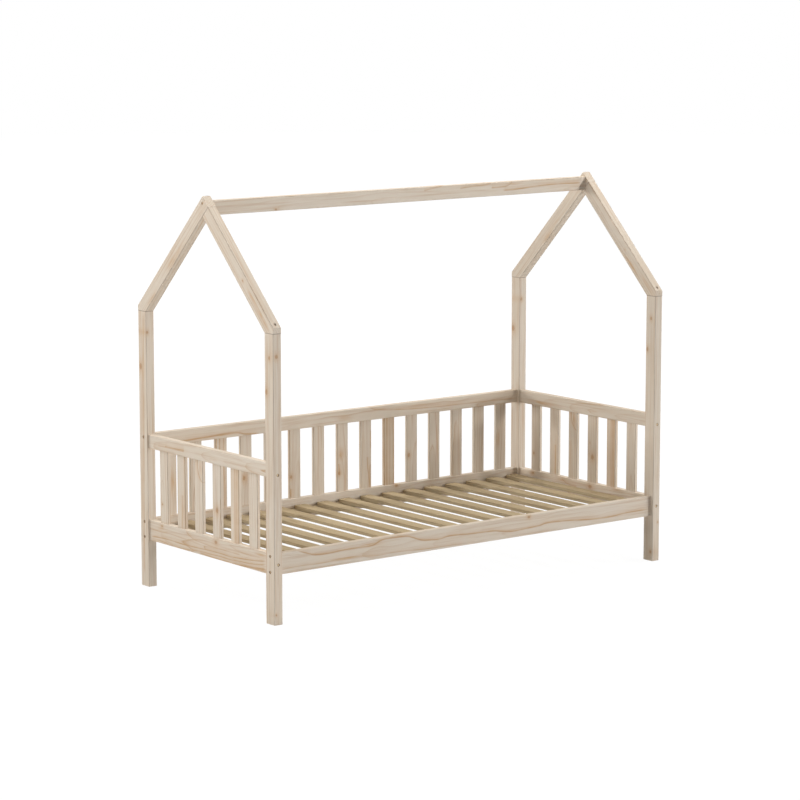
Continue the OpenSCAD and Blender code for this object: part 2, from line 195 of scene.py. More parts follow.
# Noise drawn out along a plank: cells per metre along, across and through it, detail, roughness
GRAIN = {
    "sway": ((2.2, 5.0, 5.0), 2.0, 0.45),
    "rough": ((14.0, 90.0, 90.0), 1.0, 0.5),
    "patch": ((3.0, 14.0, 14.0), 1.0, 0.5),
    "cloud": ((3.0, 18.0, 18.0), 2.0, 0.5),
    "streak": ((3.5, 110.0, 110.0), 2.0, 0.55),
    "fibre": ((9.0, 420.0, 420.0), 2.0, 0.6),
    "fine": ((60.0, 2600.0, 2600.0), 2.0, 0.5),
    "resin": ((14.0, 220.0, 220.0), 2.0, 0.6),
    "line": ((9.0, 0.0, 0.0), 2.0, 0.5),
}

# Seed of the random draws for the guard slats
SLAT_SEED = 7

# The most that each tint takes of the wood's colour
SHARE = {"cloud": 0.9, "streak": 0.4, "fibre": 0.25, "resin": 0.85, "late": 0.8, "halo": 0.52,
         "branch": 0.54, "rim": 0.26, "seam": 0.65}

# Shade of the rounded arrises, and of the screw holes in a post, at a rafter's foot and at a peak
SHARP_ARRIS, SOFT_ARRIS = 0.3, 0.22
POST_HOLE, FOOT_HOLE, PEAK_HOLE = 0.95, 0.3, 0.4

# How far the full shade and the last of it reach, in mm: from the axis of a screw hole, and from
# the plane of a seam
HOLE_EDGE = (5.4, 7.4)
SEAM_EDGE = (0.3, 2.3)

# Softboxes, which face AIM: heading from +X towards +Y and height in degrees, distance and size
# in m, power in W, and tint
SOFTBOXES = {
    "front_softbox": (210, 3, 5.0, 2.0, 17.0, (1.0, 1.0, 1.0)),
    "left_softbox": (180, 40, 5.0, 2.0, 60.0, (1.0, 1.0, 1.0)),
    "right_softbox": (330, 25, 20.0, 5.0, 1620.0, (1.0, 1.0, 1.0)),
    "low_softbox": (315, 3, 20.0, 3.7, 1600.0, (0.98, 1.0, 1.04)),
    "back_softbox": (117, 12, 20.0, 5.0, 2240.0, (1.0, 1.0, 1.0)),
    "high_softbox": (117, 50, 20.0, 5.0, 1150.0, (1.02, 1.0, 0.96)),
    "top_softbox": (0, 75, 5.0, 2.0, 136.0, (1.02, 1.0, 0.96)),
}
AIM = Vector((0.0, 0.0, 0.8))


def linear(red, green, blue):
    """Scene-linear colour from sRGB values of 0 to 255: the usual curve, with its straight foot."""
    def channel(value):
        value /= 255
        return value / 12.92 if value <= 0.04045 else ((value + 0.055) / 1.055) ** 2.4
    return tuple(channel(value) for value in (red, green, blue))


def is_socket(value):
    """Whether the value comes from a node, and is no constant."""
    return isinstance(value, bpy.types.NodeSocket)


class Shader:
    """Adds nodes to one tree. A socket's value is a constant or another node's socket."""

    def __init__(self, tree):
        self.tree = tree

    def set(self, socket, value):
        if is_socket(value):
            self.tree.links.new(value, socket)
        elif value is not None:
            socket.default_value = value

    def node(self, kind, inputs=(), **settings):
        made = self.tree.nodes.new(kind)
        for name, value in settings.items():
            setattr(made, name, value)
        for key, value in dict(inputs).items():
            self.set(made.inputs[key], value)
        return made

    def math(self, operation, a, b=None, c=None):
        inputs = {i: v for i, v in enumerate((a, b, c)) if v is not None}
        return self.node("ShaderNodeMath", inputs, operation=operation).outputs[0]

    def vector(self, operation, a, b=None, scale=None):
        inputs = {i: v for i, v in enumerate((a, b)) if v is not None}
        if scale is not None:
            inputs["Scale"] = scale
        made = self.node("ShaderNodeVectorMath", inputs, operation=operation)
        return made.outputs["Value" if operation in {"LENGTH", "DOT_PRODUCT"} else "Vector"]

    def split(self, vector):
        return self.node("ShaderNodeSeparateXYZ", {"Vector": vector}).outputs

    def join(self, **parts):
        return self.node("ShaderNodeCombineXYZ", parts).outputs[0]

    def draw(self, number):
        """A value of 0 to 1 drawn for the number."""
        made = self.node("ShaderNodeTexWhiteNoise", {"W": number}, noise_dimensions="1D")
        return made.outputs["Value"]

    def noise(self, place, scale=1.0, detail=2.0, roughness=0.5, colour=False):
        made = self.node("ShaderNodeTexNoise", {"Vector": place, "Scale": scale, "Detail": detail,
                                                "Roughness": roughness})
        return made.outputs["Color" if colour else "Fac"]

    def grain(self, name, place):
        """One of the noises of GRAIN."""
        cells, detail, roughness = GRAIN[name]
        return self.noise(self.vector("MULTIPLY", place, cells), 1.0, detail, roughness)

    def push(self, name, place, reach):
        """One of the noises of GRAIN as a vector, each part at most half the reach either way."""
        cells, detail, roughness = GRAIN[name]
        colour = self.noise(self.vector("MULTIPLY", place, cells), 1.0, detail, roughness, True)
        return self.vector("SCALE", self.vector("SUBTRACT", colour, (0.5, 0.5, 0.5)), scale=reach)

    def smooth(self, value, low, high, to_low=0.0, to_high=1.0):
        """A soft step from to_low, where the value is low or less, to to_high."""
        made = self.node("ShaderNodeMapRange", {"Value": value, "From Min": low, "From Max": high,
                                                "To Min": to_low, "To Max": to_high},
                         interpolation_type="SMOOTHSTEP")
        return made.outputs["Result"]

    def mix(self, factor, a, b):
        """Colour a where the factor is 0, going over to colour b where it is 1."""
        made = self.node("ShaderNodeMix", data_type="RGBA")
        factor_input, a_input, b_input, colour_output = 0, 6, 7, 2
        self.set(made.inputs[factor_input], factor)
        for key, value in ((a_input, a), (b_input, b)):
            self.set(made.inputs[key], value if is_socket(value) else (*value, 1.0))
        return made.outputs[colour_output]

    def gauss(self, value, rate=-1.0):
        """exp(rate * value^2)"""
        square = self.math("MULTIPLY", value, value)
        return self.math("EXPONENT", self.math("MULTIPLY", square, rate))


def new_group(name, inputs, outputs):
    """An empty node group with the given sockets, its helper, and its two end nodes."""
    group = bpy.data.node_groups.new(name, "ShaderNodeTree")
    kinds = {"F": "NodeSocketFloat", "V": "NodeSocketVector"}
    for label, kind in inputs:
        group.interface.new_socket(label, in_out="INPUT", socket_type=kinds[kind])
    for label in outputs:
        group.interface.new_socket(label, in_out="OUTPUT", socket_type=kinds["F"])
    shader = Shader(group)
    return shader, shader.node("NodeGroupInput").outputs, shader.node("NodeGroupOutput").inputs


def use_group(s, name, inputs):
    return s.node("ShaderNodeGroup", inputs, node_tree=bpy.data.node_groups[name]).outputs


def knot_group():
    """One branch through the timber.

    Across the branch, t is the distance from its line over its radius, stretched a little along
    the timber and wobbled by noise. Core falls from 1 to 0 round t = 1, Rim peaks there, Halo
    fades outwards, and Bulge, in metres, says how far the growth rings are pushed aside.
    """
    s, given, out = new_group(
        "pine knot", [("Place", "V"), ("Centre", "V"), ("Branch", "V"), ("Radius", "F")],
        ["Core", "Rim", "Halo", "Bulge", "T"])
    stretch = (0.72, 1.0, 1.0)
    wobbles_per_metre, wobble, least = 150.0, 0.7, 0.65
    core_start, core_end = 0.45, 1.25
    rim_place, rim_sharpness = 0.95, 5.0
    halo_rate, bulge_rate = -0.16, -0.25
    away = s.vector("SUBTRACT", given["Place"], given["Centre"])
    along_branch = s.vector("PROJECT", away, given["Branch"])
    across = s.vector("MULTIPLY", s.vector("SUBTRACT", away, along_branch), stretch)
    noise = s.noise(given["Place"], wobbles_per_metre, 1.0)
    t = s.math("DIVIDE", s.vector("LENGTH", across), given["Radius"])
    t = s.math("MULTIPLY", t, s.math("MULTIPLY_ADD", noise, wobble, least))
    s.set(out["Core"], s.smooth(t, core_start, core_end, 1.0, 0.0))
    from_rim = s.math("SUBTRACT", t, rim_place)
    s.set(out["Rim"], s.gauss(s.math("MULTIPLY", from_rim, rim_sharpness)))
    s.set(out["Halo"], s.gauss(t, halo_rate))
    s.set(out["Bulge"], s.math("MULTIPLY", s.gauss(t, bulge_rate), given["Radius"]))
    s.set(out["T"], t)


def streak_group():
    """A resin streak: exp(-d^2), d the distance over the half sizes, broken up along the fibre."""
    s, given, out = new_group(
        "resin streak", [("Place", "V"), ("Centre", "V"), ("Size", "V"), ("Strength", "F")],
        ["Amount"])
    low, high, weakest, strongest = 0.3, 0.7, 0.35, 1.15
    away = s.vector("SUBTRACT", given["Place"], given["Centre"])
    away = s.vector("LENGTH", s.vector("DIVIDE", away, given["Size"]))
    broken = s.smooth(s.grain("resin", given["Place"]), low, high, weakest, strongest)
    amount = s.math("MULTIPLY", s.gauss(away), broken)
    s.set(out["Amount"], s.math("MULTIPLY", amount, given["Strength"]))


def line_group():
    """A single ring line: a thin dark core at Distance 0, and a soft warm side above it."""
    s, given, out = new_group(
        "ring line", [("Distance", "F"), ("Strength", "F"), ("Half width", "F")],
        ["Core", "Side"])
    side_width, side_edge = 9.0 * MM, 1.0 * MM
    distance, strength = given["Distance"], given["Strength"]
    core = s.gauss(s.math("DIVIDE", distance, given["Half width"]))
    s.set(out["Core"], s.math("MULTIPLY", core, strength))
    side = s.math("EXPONENT", s.math("DIVIDE", s.math("ABSOLUTE", distance), -side_width))
    above = s.smooth(distance, -side_edge, side_edge)
    s.set(out["Side"], s.math("MULTIPLY", s.math("MULTIPLY", side, above), strength))


def ring_group():
    """Growth rings and fibre of a plank, in metres along, across and through it.

    The distance from the pith, a line that leans by Slope, wanders with two noises and grows by
    the bulge of the knots. Over the ring width it gives the rings: the fraction f of each makes
    its late wood as f^5, and a value drawn per ring says how dark that is. The other outputs are
    noises of GRAIN.
    """
    s, given, out = new_group(
        "pine rings",
        [("Place", "V"), ("Seed", "F"), ("Pith", "V"), ("Slope", "F"), ("Width", "F"),
         ("Wander", "F"), ("Bulge", "F")],
        ["Late", "Fibre", "Streak", "Cloud", "Fine"])
    roughness, late_power, ring_end, draw_power = 0.0022, 5.0, 0.07, 1.5
    patch_low, patch_high, palest_patch = 0.35, 0.65, 0.35
    seed = given["Seed"]
    place = s.vector("ADD", given["Place"], s.join(X=seed, Y=seed, Z=seed))
    pushed = s.vector("ADD", given["Place"], s.push("sway", place, given["Wander"]))
    pushed = s.vector("ADD", pushed, s.push("rough", place, roughness))
    lean = s.join(Z=s.math("MULTIPLY", s.split(given["Place"])["X"], given["Slope"]))
    from_pith = s.vector("SUBTRACT", pushed, s.vector("ADD", given["Pith"], lean))
    from_pith = s.vector("LENGTH", s.vector("MULTIPLY", from_pith, (0.0, 1.0, 1.0)))
    ring = s.math("DIVIDE", s.math("ADD", from_pith, given["Bulge"]), given["Width"])
    f = s.math("FRACT", ring)
    late = s.math("MAXIMUM", s.math("POWER", f, late_power), s.smooth(f, 0.0, ring_end, 1.0, 0.0))
    draw = s.math("POWER", s.draw(s.math("ADD", s.math("FLOOR", ring), seed)), draw_power)
    patch = s.smooth(s.grain("patch", place), patch_low, patch_high, palest_patch, 1.0)
    s.set(out["Late"], s.math("MULTIPLY", s.math("MULTIPLY", late, draw), patch))
    for name in ("Fibre", "Streak", "Cloud", "Fine"):
        s.set(out[name], s.grain(name.lower(), place))


def empty_material(name):
    """A material with no nodes yet, and the helper that adds them."""
    material = bpy.data.materials.new(name)
    material.use_nodes = True
    material.node_tree.nodes.clear()
    return material, Shader(material.node_tree)


def dress(node, material):
    """The one material of a CAD node."""
    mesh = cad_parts[node].data
    mesh.materials.clear()
    mesh.materials.append(material)


class Plank:
    """Unfinished pine for one node: a plank's own axes, then what grows in it."""

    def __init__(self, node, wood, along, across):
        self.node, self.wood = node, wood
        self.turn = Matrix((along, across, along.cross(across)))
        low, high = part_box(node)
        self.centre = (Vector(low) + Vector(high)) / 2
        self.material, self.s = empty_material(node)
        self.object_place = self.s.node("ShaderNodeTexCoord").outputs["Object"]
        self.place = self.s.node("ShaderNodeMapping", {
            "Vector": self.object_place, "Location": tuple(-(self.turn @ self.centre)),
            "Rotation": tuple(self.turn.to_euler())}).outputs[0]

    def local(self, point):
        """Metres along, across and through the plank, of a point in mm of the bed."""
        return self.turn @ (Vector(point) * MM - self.centre)

    def repeat(self, pitch, seed, spread):
        """Rings of their own for every copy across the plank. Returns the copies' seed and tone."""
        s = self.s
        seed_step = 7.31
        parts = s.split(self.place)
        number = s.math("ROUND", s.math("DIVIDE", parts["Y"], pitch))
        own = s.math("SUBTRACT", parts["Y"], s.math("MULTIPLY", number, pitch))
        self.place = s.join(X=parts["X"], Y=own, Z=parts["Z"])
        seed = s.math("MULTIPLY_ADD", number, seed_step, seed)
        return seed, s.math("MULTIPLY_ADD", s.draw(seed), spread, 1.0 - spread / 2)

    def grow(self, seed, pith=(0.02, 0.05), slope=0.0, width=0.009, wander=0.02, contrast=1.0,
             tone=1.0, seams=(), holes=(), arris=0.0):
        """Makes the wood and gives it to the node.

        The pith lies that many metres across and through from the plank's middle, and drifts by
        slope per metre. Width is that of a ring and wander the sway of the pith, both in metres.
        Contrast strengthens the dark lines and tone brightens the whole. Seams, holes and arris
        say where the wood is shaded.
        """
        s = self.s
        knots = self.knots()
        rings = use_group(s, "pine rings", {
            "Place": self.place, "Seed": seed, "Pith": (0.0, *pith), "Slope": slope,
            "Width": width, "Wander": wander, "Bulge": knots["Bulge"]})
        late, resin = self.drawn(rings["Late"])
        colour = self.clear_wood(rings, late, resin, contrast)
        if self.node in KNOTS:
            colour = self.knotty(colour, knots)
        for hole in holes:
            colour = self.beside_hole(colour, *hole)
        for seam in seams:
            colour = self.beside_seam(colour, *seam)
        if arris:
            colour = self.on_arris(colour, arris)
        fibre_height, fine_height, least_rough, rougher = 0.7, 0.5, 0.62, 0.16
        height = s.math("MULTIPLY_ADD", rings["Fibre"], fibre_height, late)
        height = s.math("MULTIPLY_ADD", rings["Fine"], fine_height, height)
        bump = s.node("ShaderNodeBump", {
            "Strength": 0.35, "Distance": 0.12 * MM, "Height": height})
        shader = s.node("ShaderNodeBsdfPrincipled", {
            "Base Color": s.vector("SCALE", colour, scale=tone),
            "Roughness": s.math("MULTIPLY_ADD", rings["Fibre"], rougher, least_rough),
            "Normal": bump.outputs[0], "Specular IOR Level": 0.15})
        s.node("ShaderNodeOutputMaterial", {"Surface": shader.outputs[0]})
        dress(self.node, self.material)

    def knots(self):
        """The node's knots as one: their bulges added up, the rest as the nearest knot has it."""
        s = self.s
        far = 9.0
        joined = {"Bulge": 0.0, "Core": 0.0, "Rim": 0.0, "Halo": 0.0, "T": far}
        how = {"Bulge": "ADD", "Core": "MAXIMUM", "Rim": "MAXIMUM", "Halo": "MAXIMUM",
               "T": "MINIMUM"}
        for x, y, z, radius, axis in KNOTS.get(self.node, ()):
            knot = use_group(s, "pine knot", {
                "Place": self.place, "Centre": tuple(self.local((x, y, z))),
                "Branch": tuple(self.turn @ AXES[axis]), "Radius": radius * MM})
            joined = {key: s.math(how[key], knot[key], joined[key]) for key in joined}
        return joined

    def drawn(self, late):
        """The late wood with the node's drawn ring lines, and its resin, which may be 0."""
        s = self.s
        depth_ratio, side_share = 2.5, 0.75
        resin = 0.0
        for x, y, z, half_length, half_width, strength in STREAKS.get(self.node, ()):
            size = (half_length * MM, half_width * MM, depth_ratio * half_width * MM)
            streak = use_group(s, "resin streak", {
                "Place": self.place, "Centre": tuple(self.local((x, y, z))), "Size": size,
                "Strength": strength})
            resin = s.math("MAXIMUM", streak["Amount"], resin)
        for strength, half_width, *points in LINES.get(self.node, ()):
            line = self.line(points, strength, half_width * MM)
            late = s.math("MAXIMUM", late, line["Core"])
            resin = s.math("MAXIMUM", resin, s.math("MULTIPLY", line["Side"], side_share))
        return late, resin

    def line(self, points, strength, half_width):
        """A ring line through the points: a curve from the place along to the place across."""
        s = self.s
        margin, before, after, low_noise, high_noise = 0.01, 0.02, 0.03, 0.3, 0.6
        along, across = (max(range(3), key=lambda i: abs(self.turn[row][i])) for row in (0, 1))
        us = np.array([u * MM - self.centre[along] for u, v in points])
        vs = np.array([v * MM - self.centre[across] for u, v in points])
        low, high = vs.min() - margin, vs.max() + margin
        curve = s.node("ShaderNodeFloatCurve")
        table = curve.mapping.curves[0].points
        spots = np.stack([(us - us[0]) / (us[-1] - us[0]), (vs - low) / (high - low)], 1)
        while len(table) < len(spots):
            table.new(0.5, 0.5)
        for spot, place in zip(table, spots.tolist()):
            spot.location = place
        curve.mapping.update()
        parts = s.split(self.place)
        length = float(us[-1] - us[0])
        share = s.math("DIVIDE", s.math("SUBTRACT", parts["X"], float(us[0])), length)
        s.set(curve.inputs["Value"], s.math("MINIMUM", s.math("MAXIMUM", share, 0.0), 1.0))
        height = s.math("MULTIPLY_ADD", curve.outputs[0], float(high - low), float(low))
        inside = s.math("MULTIPLY", s.smooth(share, -before, after),
                        s.smooth(share, 1.0 - after, 1.0 + before, 1.0, 0.0))
        broken = s.smooth(s.grain("line", self.place), low_noise, high_noise, strength / 2,
                          strength)
        return use_group(s, "ring line", {
            "Distance": s.math("SUBTRACT", parts["Y"], height), "Half width": half_width,
            "Strength": s.math("MULTIPLY", inside, broken)})

    def clear_wood(self, rings, late, resin, contrast):
        """The wood between the knots: pale wood, streaks and fibre, then resin and late wood."""
        s, wood = self.s, self.wood
        streak_edge, fibre_edge = (0.45, 0.8), (0.5, 0.85)
        cloud = s.math("MULTIPLY", rings["Cloud"], SHARE["cloud"])
        streak = s.smooth(rings["Streak"], *streak_edge, 0.0, SHARE["streak"] * contrast)
        fibre = s.smooth(rings["Fibre"], *fibre_edge, 0.0, SHARE["fibre"] * contrast)
        colour = s.mix(cloud, wood.early, wood.warm)
        colour = s.mix(streak, colour, wood.late)
        colour = s.mix(fibre, colour, wood.late)
        if is_socket(resin):
            colour = s.mix(s.math("MULTIPLY", resin, SHARE["resin"]), colour, wood.resin)
        return s.mix(s.math("MULTIPLY", late, SHARE["late"] * contrast), colour, wood.late)

    def knotty(self, colour, knots):
        """Resin round the knots, branches with rings of their own, and dark rims."""
        s, wood = self.s, self.wood
        ring_rate, ring_depth = 16.0, 0.1
        turns = s.math("SINE", s.math("MULTIPLY", knots["T"], ring_rate))
        turns = s.math("MULTIPLY_ADD", turns, ring_depth, SHARE["branch"])
        colour = s.mix(s.math("MULTIPLY", knots["Halo"], SHARE["halo"]), colour, wood.resin)
        colour = s.mix(s.math("MULTIPLY", knots["Core"], turns), colour, wood.knot)
        return s.mix(s.math("MULTIPLY", knots["Rim"], SHARE["rim"]), colour, wood.rim)

    def beside_hole(self, colour, point, axis, dark):
        """Shade in and round a screw hole: a point on its axis in mm, the axis, and how dark."""
        s = self.s
        low, high = HOLE_EDGE
        away = s.vector("SUBTRACT", self.object_place, tuple(Vector(point) * MM))
        away = s.vector("LENGTH", s.vector("CROSS_PRODUCT", away, tuple(AXES[axis])))
        return s.mix(s.smooth(away, low * MM, high * MM, dark, 0.0), colour, self.wood.bore)

    def beside_seam(self, colour, point, normal):
        """Shade along the plane of a joint."""
        s = self.s
        unit = Vector(normal).normalized()
        low, high = SEAM_EDGE
        far = s.vector("DOT_PRODUCT", self.object_place, tuple(unit))
        far = s.math("ABSOLUTE", s.math("SUBTRACT", far, Vector(point).dot(unit) * MM))
        return s.mix(s.smooth(far, low * MM, high * MM, SHARE["seam"], 0.0), colour,
                     self.wood.seam)

    def on_arris(self, colour, dark):
        """Shade on the rounded edges, where the surface is neither a flat side nor an end."""
        s = self.s
        rounded_below, flat_above, side_below, end_above = 0.9, 0.99, 0.2, 0.4
        facing = s.node("ShaderNodeNewGeometry").outputs["True Normal"]
        ahead, over, through = (
            s.math("ABSOLUTE", s.vector("DOT_PRODUCT", facing, tuple(axis)))
            for axis in self.turn)
        square = s.math("MAXIMUM", over, through)
        rounded = s.smooth(square, rounded_below, flat_above, dark, 0.0)
        lengthwise = s.smooth(ahead, side_below, end_above, 1.0, 0.0)
        return s.mix(s.math("MULTIPLY", rounded, lengthwise), colour, self.wood.seam)


def shade(label, note, *rgb):
    """A colour property, its default in sRGB values of 0 to 255."""
    return FloatVectorProperty(name=label, description=note, subtype="COLOR", size=3, min=0.0,
                               max=1.0, default=linear(*rgb))


class BedPine(bpy.types.PropertyGroup):
    """Colours of the pine"""
    early: shade("Early wood", "Pale wood of spring growth", 219, 208, 194)
    warm: shade("Warm wood", "Pale wood with a warmer cast", 214, 200, 181)
    late: shade("Late wood", "Lines of summer growth", 184, 144, 102)
    resin: shade("Resin", "Resin-rich wood in streaks and round knots", 196, 156, 110)
    knot: shade("Knots", "Wood of the branches", 172, 124, 86)
    rim: shade("Rims", "Dark rims of the knots", 136, 98, 70)
    seam: shade("Seams", "Shade in the seams of the joints and on the arrises", 108, 88, 70)
    bore: shade("Screw holes", "Shaded wall and rim of the screw holes", 112, 88, 66)


class BedBase(bpy.types.PropertyGroup):
    """Colours of the slatted base, of plainer and greener pine"""
    early: shade("Early wood", "Pale wood of spring growth", 181, 164, 134)
    warm: shade("Warm wood", "Pale wood with a warmer cast", 173, 154, 122)
    late: shade("Late wood", "Lines of summer growth", 145, 120, 86)


class BedHardware(bpy.types.PropertyGroup):
    """Colours of the screws and dowels"""
    zinc: shade("Zinc", "Yellow zinc of the screws", 242, 218, 178)
    zinc_dark: shade("Dull zinc", "Duller patches of the zinc", 218, 188, 146)
    beech: shade("Beech", "Wood of the dowels", 206, 168, 120)
    beech_dark: shade("Beech flecks", "Darker flecks of the dowels", 176, 136, 92)


class BedStudio(bpy.types.PropertyGroup):
    """Camera and strength of the light"""
    lens: FloatProperty(
        name="Lens", description="Focal length on a 36 mm sensor", min=20.0, max=300.0,
        default=134.298, unit="CAMERA")
    camera: FloatVectorProperty(
        name="Camera", description="Place of the camera", subtype="TRANSLATION", unit="LENGTH",
        size=3, default=(-7.9641, -10.2303, 2.7840))
    turn: FloatProperty(
        name="Turn", description="Heading of the camera, from +Y towards +X", subtype="ANGLE",
        unit="ROTATION", default=math.radians(37.798))
    dip: FloatProperty(
        name="Dip", description="How far the camera looks down", subtype="ANGLE",
        unit="ROTATION", default=math.radians(8.820))
    room: FloatProperty(
        name="Room", description="Strength of the even light of the room", min=0.0, max=3.0,
        default=0.0)
    lamps: FloatProperty(
        name="Lamps", description="Strength of all the lamps together", min=0.0, max=5.0,
        default=1.0)


class BED_OT_posts(bpy.types.Operator):
    """Gives the four posts their pine"""
    bl_idname = "bed.posts"
    bl_label = "Posts"

    def execute(self, context):
        for i, (row, side) in enumerate(ROWS):
            for j, (end, out) in enumerate(ENDS):
                end_x, end_y = END_FACE * out, POST_Y * side
                side_x, side_y = POST_X * out, SIDE_FACE * side
                holes = [((end_x, end_y, z), "x", POST_HOLE) for z in SIDE_RAIL_SCREWS]
                holes += [((side_x, side_y, z), "y", POST_HOLE) for z in END_RAIL_SCREWS]
                if row == "back":
                    holes.append(((end_x, end_y, BACK_GUARD_SCREW), "x", POST_HOLE))
                plank = Plank(f"{row}_{end}_post", context.scene.bed_pine, Z, Y)
                plank.grow(seed=11.3 + 3.7 * (2 * i + j), pith=(0.075, -0.06), width=0.0085,
                           wander=0.012, contrast=1.1, tone=(1.0, 0.97)[j], seams=[POST_TOP],
                           holes=holes, arris=SOFT_ARRIS)
        return {"FINISHED"}


class BED_OT_gables(bpy.types.Operator):
    """Gives the rafters and the ridge beam their pine"""
    bl_idname = "bed.gables"
    bl_label = "Gables and ridge"

    def execute(self, context):
        wood = context.scene.bed_pine
        for i, (end, out) in enumerate(ENDS):
            for row, side in ROWS:
                along = Vector((0, -side, 1)).normalized()
                across = Vector((0, side, 1)).normalized()
                foot = (POST_X * out, RAFTER_SCREW_Y * side, RAFTER_SCREW_Z)
                seams, holes = [POST_TOP], [(foot, "z", FOOT_HOLE)]
                if row == "front":
                    seams.append(RAFTER_BUTT)
                else:
                    holes.append(((END_FACE * out, 0, RIDGE_SCREW), "x", PEAK_HOLE))
                plank = Plank(f"{end}_{row}_rafter", wood, along, across)
                plank.grow(seed=31.1 + 5.3 * i + side, pith=(0.06, 0.05), wander=0.015,
                           tone=(1.0, 0.95)[i], seams=seams, holes=holes, arris=SOFT_ARRIS)
        plank = Plank("ridge_beam", wood, X, Z)
        plank.grow(seed=47.2, pith=(-0.03, -0.07), slope=0.01, width=0.01, wander=0.03,
                   arris=SHARP_ARRIS)
        return {"FINISHED"}


class BED_OT_rails(bpy.types.Operator):
    """Gives the side, end and guard rails their pine"""
    bl_idname = "bed.rails"
    bl_label = "Rails"

    def execute(self, context):
        wood = context.scene.bed_pine
        tones = {"front_side_rail": 0.94, "right_guard_rail": 0.94, "right_end_rail": 1.06}
        for i, node in enumerate(("front_side_rail", "back_side_rail", "back_guard_rail")):
            plank = Plank(node, wood, X, Z)
            plank.grow(seed=61.7 + 2.9 * i, pith=(-0.02, -0.06), slope=0.015, width=0.011,
                       wander=0.04, tone=tones.get(node, 1.0))
        for i, node in enumerate(("left_end_rail", "left_guard_rail", "right_end_rail",
                                  "right_guard_rail")):
            plank = Plank(node, wood, Y, Z)
            plank.grow(seed=71.9 + 3.1 * i, pith=(-0.01, 0.04), slope=0.05, width=0.01,
                       wander=0.03, tone=tones.get(node, 1.0))
        return {"FINISHED"}


class BED_OT_guard_slats(bpy.types.Operator):
    """Gives each guard slat its own pine"""
    bl_idname = "bed.guard_slats"
    bl_label = "Guard slats"

    def execute(self, context):
        wood = context.scene.bed_pine
        draw = np.random.default_rng(SLAT_SEED)
        striped = {"left_guard_slat_2", "right_guard_slat_2", "back_guard_slat_10"}
        for node in sorted(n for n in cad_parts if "guard_slat_" in n):
            plank = Plank(node, wood, Z, X if node.startswith("back") else Y)
            seed = float(draw.uniform(0, 90))
            pith = float(draw.uniform(-0.04, 0.04))
            tone = float(draw.uniform(0.985, 1.03))
            if node in striped:
                plank.grow(seed, pith=(0.08, 0.03), width=0.0075, wander=0.006, contrast=1.05,
                           tone=1.05, arris=SHARP_ARRIS)
            else:
                plank.grow(seed, pith=(pith, 0.045), slope=0.03, tone=tone, arris=SHARP_ARRIS)
        return {"FINISHED"}


class BED_OT_base(bpy.types.Operator):
    """Gives the slatted base and its bearers their plainer pine"""
    bl_idname = "bed.base"
    bl_label = "Slatted base"

    def execute(self, context):
        wood = context.scene.bed_base
        plank = Plank("base_slats", wood, Y, X)
        seed, tone = plank.repeat(BASE_SLAT_PITCH * MM, seed=5.0, spread=0.06)
        plank.grow(seed, pith=(0.0, 0.05), slope=0.03, width=0.008, tone=tone)
        for i, node in enumerate(("front_slat_bearer", "back_slat_bearer")):
            Plank(node, wood, X, Z).grow(seed=91.0 + i, wander=0.03)
        return {"FINISHED"}


class BED_OT_fasteners(bpy.types.Operator):
    """Gives the screws their yellow zinc and the dowels their beech"""
    bl_idname = "bed.fasteners"
    bl_label = "Screws and dowels"

    def execute(self, context):
        colours = context.scene.bed_hardware
        zinc = self.mottled("yellow_zinc", colours.zinc, colours.zinc_dark, scale=700.0,
                            roughness=0.3, metallic=0.4)
        for node in ("short_frame_screws", "long_frame_screws", "bearer_screws",
                     "base_slat_screws"):
            dress(node, zinc)
        beech = self.mottled("beech", colours.beech, colours.beech_dark, scale=900.0,
                             roughness=0.45, metallic=0.0)
        dress("dowels", beech)
        return {"FINISHED"}

    def mottled(self, name, light, dark, scale, roughness, metallic):
        """A material of two colours mixed by noise, a little rougher where it is dark."""
        material, s = empty_material(name)
        rougher = 0.2
        fleck = s.noise(s.node("ShaderNodeTexCoord").outputs["Object"], scale)
        shader = s.node("ShaderNodeBsdfPrincipled", {
            "Base Color": s.mix(fleck, light, dark), "Metallic": metallic,
            "Roughness": s.math("MULTIPLY_ADD", fleck, rougher, roughness)})
        s.node("ShaderNodeOutputMaterial", {"Surface": shader.outputs[0]})
        return material


